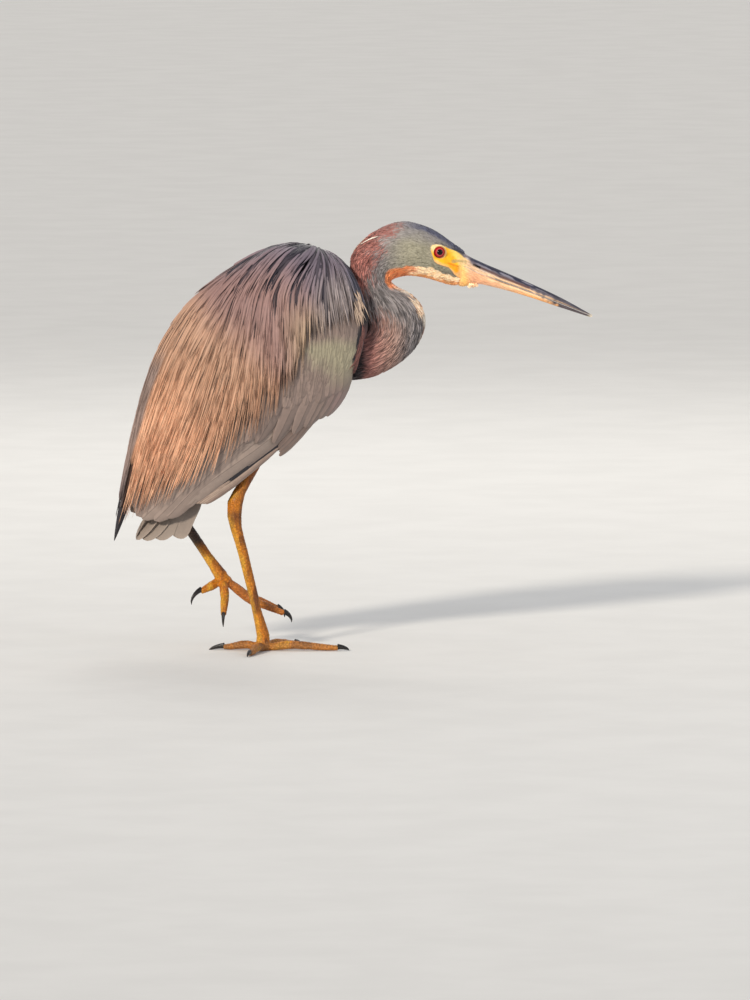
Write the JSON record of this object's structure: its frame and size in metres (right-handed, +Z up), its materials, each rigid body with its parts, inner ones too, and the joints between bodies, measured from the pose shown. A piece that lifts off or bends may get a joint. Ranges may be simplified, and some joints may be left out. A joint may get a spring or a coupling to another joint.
{
  "type": "tricolored heron",
  "caption": "Standing wading bird with a folded neck, long pointed bill, folded wings with hanging back plumes and one leg lifted; a still display model.",
  "frame": {"origin": "centre of the sole under the standing (right) foot, on the floor", "axes": "+X the way the bird faces, +Y its left side, +Z up"},
  "size_m": [0.3279, 0.0908, 0.2914],
  "materials": {
    "plumage": "feathered, matt",
    "back_plumes": "long loose plumes, satin",
    "wing_feathers": "closed vanes, satin",
    "tail_feathers": "closed vanes, satin",
    "bill_upper": "horn, semi-gloss",
    "bill_lower": "horn, semi-gloss",
    "eye": "wet gloss",
    "leg_skin": "scaly skin, satin",
    "claw": "horn, semi-gloss"
  },
  "bodies": {
    "root": {"bill_lower": "bill_lower", "bill_upper": "bill_upper", "claw_left_hind": "claw", "claw_left_inner": "claw", "claw_left_middle": "claw", "claw_left_outer": "claw", "claw_right_hind": "claw", "claw_right_inner": "claw", "claw_right_middle": "claw", "claw_right_outer": "claw", "eye_left": "eye", "eye_right": "eye", "foot_left": "leg_skin", "foot_right": "leg_skin", "head": "plumage", "mantle": "back_plumes", "neck_lower": "plumage", "neck_middle": "plumage", "neck_upper": "plumage", "shank_left": "leg_skin", "shank_right": "leg_skin", "tail": "tail_feathers", "tarsus_left": "leg_skin", "tarsus_right": "leg_skin", "thigh_left": "plumage", "thigh_right": "plumage", "toe_left_hind": "leg_skin", "toe_left_inner": "leg_skin", "toe_left_middle": "leg_skin", "toe_left_outer": "leg_skin", "toe_right_hind": "leg_skin", "toe_right_inner": "leg_skin", "toe_right_middle": "leg_skin", "toe_right_outer": "leg_skin", "trunk": "plumage", "wing_left": "wing_feathers", "wing_right": "wing_feathers"}
  },
  "joints": []
}
